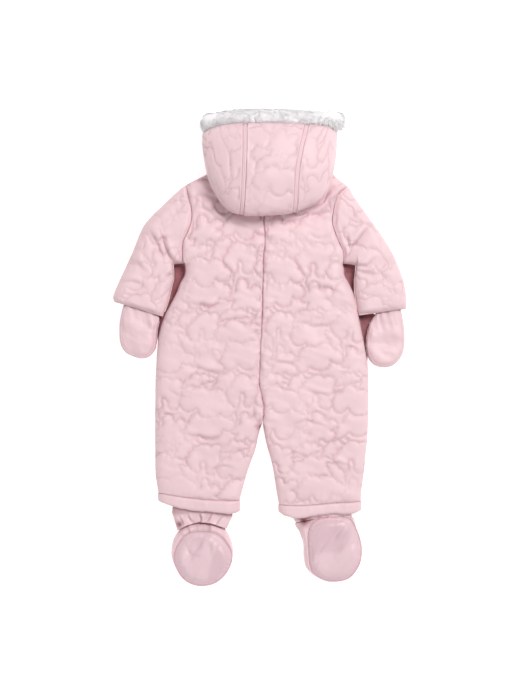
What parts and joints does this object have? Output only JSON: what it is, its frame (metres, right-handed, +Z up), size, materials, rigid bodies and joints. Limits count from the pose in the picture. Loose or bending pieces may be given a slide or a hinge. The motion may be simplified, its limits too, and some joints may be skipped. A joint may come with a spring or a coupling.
{
  "type": "baby snowsuit",
  "caption": "Quilted all-in-one pramsuit with a fur-edged hood, mittens and booties, laid face down with its hood over its back, zipped up the front",
  "frame": {"origin": "on the surface that the suit lies on, under the middle of its box", "axes": "+Y runs from the feet to the hood, +X to the right of someone who looks down on the suit's back with the hood away from them, +Z up from the surface"},
  "size_m": [0.4082, 0.6618, 0.075],
  "materials": {
    "quilted_cloth": "pale pink satin-woven nylon, quilted in lobed outlines",
    "plain_cloth": "pale pink satin-woven nylon, not quilted",
    "sole_cloth": "pink satin with a soft shine",
    "fur": "white long-pile artificial fur",
    "zip_tape": "pink woven tape",
    "zip_metal": "polished metal"
  },
  "bodies": {
    "suit": {"back_left": "quilted_cloth", "back_right": "quilted_cloth", "front_left": "quilted_cloth", "front_right": "quilted_cloth", "sleeve_left": "quilted_cloth", "sleeve_right": "quilted_cloth", "leg_band_left": "plain_cloth", "leg_band_right": "plain_cloth", "mitten_back_left": "plain_cloth", "mitten_palm_left": "plain_cloth", "mitten_back_right": "plain_cloth", "mitten_palm_right": "plain_cloth", "bootie_ankle_left": "plain_cloth", "bootie_ankle_right": "plain_cloth", "bootie_upper_left": "plain_cloth", "bootie_upper_right": "plain_cloth", "bootie_sole_left": "sole_cloth", "bootie_sole_right": "sole_cloth", "hood_centre": "quilted_cloth", "hood_side_left": "quilted_cloth", "hood_side_right": "quilted_cloth", "hood_fur_trim": "fur", "zip_tape_left": "zip_tape", "zip_tape_right": "zip_tape", "zip_coil": "zip_tape", "zip_slider": "zip_metal"},
    "pull_tab": {"zip_pull_tab": "zip_metal"}
  },
  "joints": [
    {"name": "pull_tab_hinge", "type": "hinge", "parent": "suit", "child": "pull_tab", "pos_m": [0.0037, 0.1931, 0.0022], "axis": [1, 0, 0], "range_deg": [0, 150]}
  ]
}
